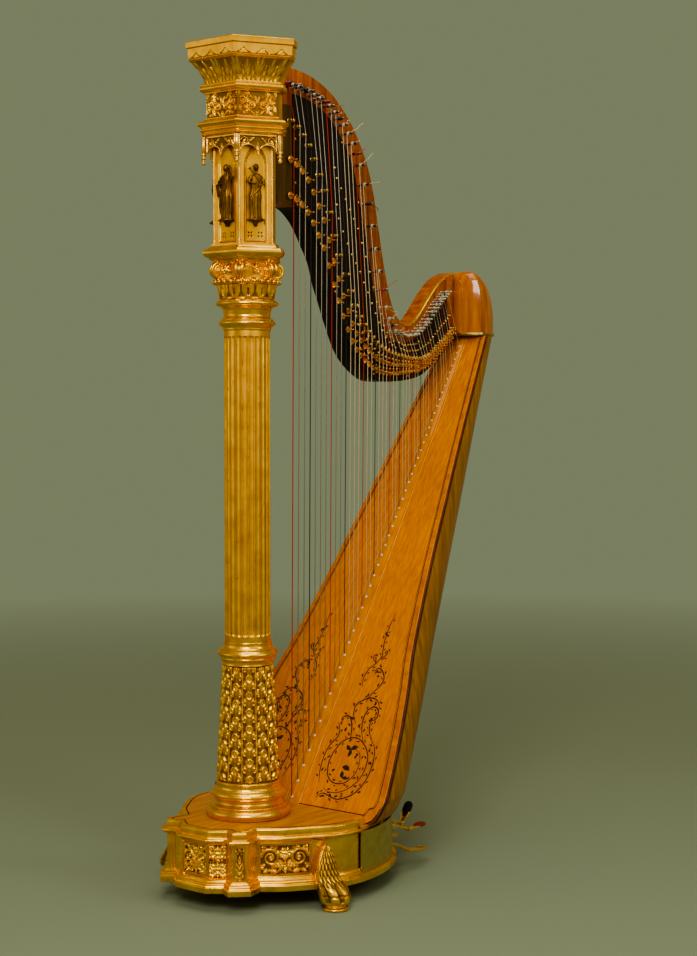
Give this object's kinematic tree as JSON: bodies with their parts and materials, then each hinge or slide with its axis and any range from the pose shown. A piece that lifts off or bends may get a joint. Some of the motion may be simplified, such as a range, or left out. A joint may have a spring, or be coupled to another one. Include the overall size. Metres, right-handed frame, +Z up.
{
  "type": "concert pedal harp",
  "caption": "Concert pedal harp with a gilded niched crown, fluted column, curved neck, tapered soundbox, carved pedestal, working pedals and fork discs.",
  "frame": {"origin": "middle of the bounding box at floor level", "axes": "+Z up; +X from the column towards the soundbox and the player; the player's left is -Y"},
  "size_m": [1.117, 0.559, 1.88],
  "materials": {
    "gilt_wood": "gold leaf over carved wood, burnished",
    "pedestal_wood": "satin varnish",
    "varnished_maple": "gloss varnish",
    "varnished_spruce": "gloss varnish",
    "black_plate": "satin black",
    "brass": "polished, slightly toned",
    "steel": "polished",
    "string_gut": "gut, nylon and wound wire",
    "felt_red": "wool felt",
    "felt_black": "wool felt"
  },
  "bodies": {
    "frame": {"action_plate_left": "black_plate", "action_plate_right": "black_plate", "base_deck": "pedestal_wood", "base_floor_plate": "pedestal_wood", "base_frame": "gilt_wood", "base_top_plate": "pedestal_wood", "column_base": "gilt_wood", "column_capital": "gilt_wood", "column_shaft": "gilt_wood", "crown_body": "gilt_wood", "crown_cap": "gilt_wood", "foot_front_left": "gilt_wood", "foot_front_right": "gilt_wood", "foot_rear_left": "gilt_wood", "foot_rear_right": "gilt_wood", "neck": "varnished_maple", "pedal_cover": "brass", "pedal_pivot_bar": "steel", "shoulder": "varnished_maple", "soundboard": "varnished_spruce", "soundbox_rib": "varnished_maple", "soundbox_shell": "varnished_maple", "string_rail": "varnished_spruce", "strings": "string_gut", "tuning_pins": "steel"},
    "natural_disc_A": {"natural_disc_A": "brass"},
    "natural_disc_B": {"natural_disc_B": "brass"},
    "natural_disc_C": {"natural_disc_C": "brass"},
    "natural_disc_D": {"natural_disc_D": "brass"},
    "natural_disc_E": {"natural_disc_E": "brass"},
    "natural_disc_F": {"natural_disc_F": "brass"},
    "natural_disc_G": {"natural_disc_G": "brass"},
    "pad_A": {"pad_A": "brass"},
    "pad_B": {"pad_B": "felt_black"},
    "pad_C": {"pad_C": "felt_red"},
    "pad_D": {"pad_D": "brass"},
    "pad_E": {"pad_E": "brass"},
    "pad_F": {"pad_F": "brass"},
    "pad_G": {"pad_G": "brass"},
    "pedal_A": {"pedal_A": "brass"},
    "pedal_B": {"pedal_B": "brass"},
    "pedal_C": {"pedal_C": "brass"},
    "pedal_D": {"pedal_D": "brass"},
    "pedal_E": {"pedal_E": "brass"},
    "pedal_F": {"pedal_F": "brass"},
    "pedal_G": {"pedal_G": "brass"},
    "pedal_rod_A": {"pedal_rod_A": "steel"},
    "pedal_rod_B": {"pedal_rod_B": "steel"},
    "pedal_rod_C": {"pedal_rod_C": "steel"},
    "pedal_rod_D": {"pedal_rod_D": "steel"},
    "pedal_rod_E": {"pedal_rod_E": "steel"},
    "pedal_rod_F": {"pedal_rod_F": "steel"},
    "pedal_rod_G": {"pedal_rod_G": "steel"},
    "sharp_disc_A": {"sharp_disc_A": "brass"},
    "sharp_disc_B": {"sharp_disc_B": "brass"},
    "sharp_disc_C": {"sharp_disc_C": "brass"},
    "sharp_disc_D": {"sharp_disc_D": "brass"},
    "sharp_disc_E": {"sharp_disc_E": "brass"},
    "sharp_disc_F": {"sharp_disc_F": "brass"},
    "sharp_disc_G": {"sharp_disc_G": "brass"}
  },
  "joints": [
    {"name": "pedal_D", "type": "hinge", "parent": "frame", "child": "pedal_D", "pos_m": [-0.2855, -0.063, 0.104], "axis": [0, 1, 0], "range_deg": [-7.2, 0]},
    {"name": "pad_D_fold", "type": "hinge", "parent": "pedal_D", "child": "pad_D", "pos_m": [-0.00613, -0.18, 0.05056], "axis": [0, -1, 0], "range_deg": [0, 100]},
    {"name": "rod_D_slide", "type": "slide", "parent": "frame", "child": "pedal_rod_D", "axis": [0, 0, 1], "range_m": [-0.01069, 0]},
    {"name": "natural_disc_D_turn", "type": "hinge", "parent": "frame", "child": "natural_disc_D", "pos_m": [0.06173, 0, 1.23179], "axis": [0, 1, 0], "range_deg": [-60.01, 0]},
    {"name": "sharp_disc_D_turn", "type": "hinge", "parent": "frame", "child": "sharp_disc_D", "pos_m": [0.06131, 0, 1.19794], "axis": [0, 1, 0], "range_deg": [-60.01, 0]},
    {"name": "pedal_C", "type": "hinge", "parent": "frame", "child": "pedal_C", "pos_m": [-0.2855, -0.049, 0.104], "axis": [0, 1, 0], "range_deg": [0, 7.2], "stiffness_Nm_per_rad": 20, "springref_deg": -5.73},
    {"name": "pad_C_fold", "type": "hinge", "parent": "pedal_C", "child": "pad_C", "pos_m": [0.04373, -0.14, 0.086], "axis": [0, -1, 0], "range_deg": [0, 100]},
    {"name": "rod_C_slide", "type": "slide", "parent": "frame", "child": "pedal_rod_C", "axis": [0, 0, 1], "range_m": [0, 0.01069]},
    {"name": "natural_disc_C_turn", "type": "hinge", "parent": "frame", "child": "natural_disc_C", "pos_m": [0.04602, 0, 1.24574], "axis": [0, 1, 0], "range_deg": [0, 60.01]},
    {"name": "sharp_disc_C_turn", "type": "hinge", "parent": "frame", "child": "sharp_disc_C", "pos_m": [0.04558, 0, 1.20968], "axis": [0, 1, 0], "range_deg": [0, 60.01]},
    {"name": "pedal_B", "type": "hinge", "parent": "frame", "child": "pedal_B", "pos_m": [-0.2855, -0.0315, 0.104], "axis": [0, 1, 0], "range_deg": [0, 7.2], "stiffness_Nm_per_rad": 20, "springref_deg": -5.73},
    {"name": "pad_B_fold", "type": "hinge", "parent": "pedal_B", "child": "pad_B", "pos_m": [0.07815, -0.09, 0.086], "axis": [0, -1, 0], "range_deg": [-50, 50]},
    {"name": "rod_B_slide", "type": "slide", "parent": "frame", "child": "pedal_rod_B", "axis": [0, 0, 1], "range_m": [0, 0.01069]},
    {"name": "natural_disc_B_turn", "type": "hinge", "parent": "frame", "child": "natural_disc_B", "pos_m": [0.13573, 0, 1.19496], "axis": [0, 1, 0], "range_deg": [0, 60.01]},
    {"name": "sharp_disc_B_turn", "type": "hinge", "parent": "frame", "child": "sharp_disc_B", "pos_m": [0.13539, 0, 1.16993], "axis": [0, 1, 0], "range_deg": [0, 60.01]},
    {"name": "pedal_E", "type": "hinge", "parent": "frame", "child": "pedal_E", "pos_m": [-0.2855, -0.007, 0.104], "axis": [0, 1, 0], "range_deg": [-7.2, 0]},
    {"name": "pad_E_fold", "type": "hinge", "parent": "pedal_E", "child": "pad_E", "pos_m": [0.09367, -0.02, 0.03796], "axis": [0, -1, 0], "range_deg": [0, 100]},
    {"name": "rod_E_slide", "type": "slide", "parent": "frame", "child": "pedal_rod_E", "axis": [0, 0, 1], "range_m": [-0.01069, 0]},
    {"name": "natural_disc_E_turn", "type": "hinge", "parent": "frame", "child": "natural_disc_E", "pos_m": [0.07714, 0, 1.22041], "axis": [0, 1, 0], "range_deg": [-60.01, 0]},
    {"name": "sharp_disc_E_turn", "type": "hinge", "parent": "frame", "child": "sharp_disc_E", "pos_m": [0.07673, 0, 1.1886], "axis": [0, 1, 0], "range_deg": [-60.01, 0]},
    {"name": "pedal_F", "type": "hinge", "parent": "frame", "child": "pedal_F", "pos_m": [-0.2855, 0.014, 0.104], "axis": [0, 1, 0], "range_deg": [0, 7.2], "stiffness_Nm_per_rad": 20, "springref_deg": -5.73},
    {"name": "pad_F_fold", "type": "hinge", "parent": "pedal_F", "child": "pad_F", "pos_m": [0.09581, 0.04, 0.086], "axis": [0, -1, 0], "range_deg": [0, 100]},
    {"name": "rod_F_slide", "type": "slide", "parent": "frame", "child": "pedal_rod_F", "axis": [0, 0, 1], "range_m": [0, 0.01069]},
    {"name": "natural_disc_F_turn", "type": "hinge", "parent": "frame", "child": "natural_disc_F", "pos_m": [0.09223, 0, 1.21099], "axis": [0, 1, 0], "range_deg": [0, 60.01]},
    {"name": "sharp_disc_F_turn", "type": "hinge", "parent": "frame", "child": "sharp_disc_F", "pos_m": [0.09183, 0, 1.18108], "axis": [0, 1, 0], "range_deg": [0, 60.01]},
    {"name": "pedal_G", "type": "hinge", "parent": "frame", "child": "pedal_G", "pos_m": [-0.2855, 0.035, 0.104], "axis": [0, 1, 0], "range_deg": [0, 7.2], "stiffness_Nm_per_rad": 20, "springref_deg": -5.73},
    {"name": "pad_G_fold", "type": "hinge", "parent": "pedal_G", "child": "pad_G", "pos_m": [0.07277, 0.1, 0.086], "axis": [0, -1, 0], "range_deg": [0, 100]},
    {"name": "rod_G_slide", "type": "slide", "parent": "frame", "child": "pedal_rod_G", "axis": [0, 0, 1], "range_m": [0, 0.01069]},
    {"name": "natural_disc_G_turn", "type": "hinge", "parent": "frame", "child": "natural_disc_G", "pos_m": [0.10702, 0, 1.20285], "axis": [0, 1, 0], "range_deg": [0, 60.01]},
    {"name": "sharp_disc_G_turn", "type": "hinge", "parent": "frame", "child": "sharp_disc_G", "pos_m": [0.10664, 0, 1.17475], "axis": [0, 1, 0], "range_deg": [0, 60.01]},
    {"name": "pedal_A", "type": "hinge", "parent": "frame", "child": "pedal_A", "pos_m": [-0.2855, 0.05425, 0.104], "axis": [0, 1, 0], "range_deg": [0, 7.2], "stiffness_Nm_per_rad": 20, "springref_deg": -5.73},
    {"name": "pad_A_fold", "type": "hinge", "parent": "pedal_A", "child": "pad_A", "pos_m": [0.02909, 0.155, 0.086], "axis": [0, -1, 0], "range_deg": [0, 100]},
    {"name": "rod_A_slide", "type": "slide", "parent": "frame", "child": "pedal_rod_A", "axis": [0, 0, 1], "range_m": [0, 0.01069]},
    {"name": "natural_disc_A_turn", "type": "hinge", "parent": "frame", "child": "natural_disc_A", "pos_m": [0.12152, 0, 1.19822], "axis": [0, 1, 0], "range_deg": [0, 60.01]},
    {"name": "sharp_disc_A_turn", "type": "hinge", "parent": "frame", "child": "sharp_disc_A", "pos_m": [0.12116, 0, 1.1717], "axis": [0, 1, 0], "range_deg": [0, 60.01]}
  ],
  "couplings": [
    {"joint": "rod_D_slide", "follows": "pedal_D", "m_per_rad": 0.085},
    {"joint": "natural_disc_D_turn", "follows": "pedal_D", "ratio": 8.3333},
    {"joint": "sharp_disc_D_turn", "follows": "pedal_D", "ratio": 8.3333},
    {"joint": "rod_C_slide", "follows": "pedal_C", "m_per_rad": 0.085},
    {"joint": "natural_disc_C_turn", "follows": "pedal_C", "ratio": 8.3333},
    {"joint": "sharp_disc_C_turn", "follows": "pedal_C", "ratio": 8.3333},
    {"joint": "rod_B_slide", "follows": "pedal_B", "m_per_rad": 0.085},
    {"joint": "natural_disc_B_turn", "follows": "pedal_B", "ratio": 8.3333},
    {"joint": "sharp_disc_B_turn", "follows": "pedal_B", "ratio": 8.3333},
    {"joint": "rod_E_slide", "follows": "pedal_E", "m_per_rad": 0.085},
    {"joint": "natural_disc_E_turn", "follows": "pedal_E", "ratio": 8.3333},
    {"joint": "sharp_disc_E_turn", "follows": "pedal_E", "ratio": 8.3333},
    {"joint": "rod_F_slide", "follows": "pedal_F", "m_per_rad": 0.085},
    {"joint": "natural_disc_F_turn", "follows": "pedal_F", "ratio": 8.3333},
    {"joint": "sharp_disc_F_turn", "follows": "pedal_F", "ratio": 8.3333},
    {"joint": "rod_G_slide", "follows": "pedal_G", "m_per_rad": 0.085},
    {"joint": "natural_disc_G_turn", "follows": "pedal_G", "ratio": 8.3333},
    {"joint": "sharp_disc_G_turn", "follows": "pedal_G", "ratio": 8.3333},
    {"joint": "rod_A_slide", "follows": "pedal_A", "m_per_rad": 0.085},
    {"joint": "natural_disc_A_turn", "follows": "pedal_A", "ratio": 8.3333},
    {"joint": "sharp_disc_A_turn", "follows": "pedal_A", "ratio": 8.3333}
  ]
}
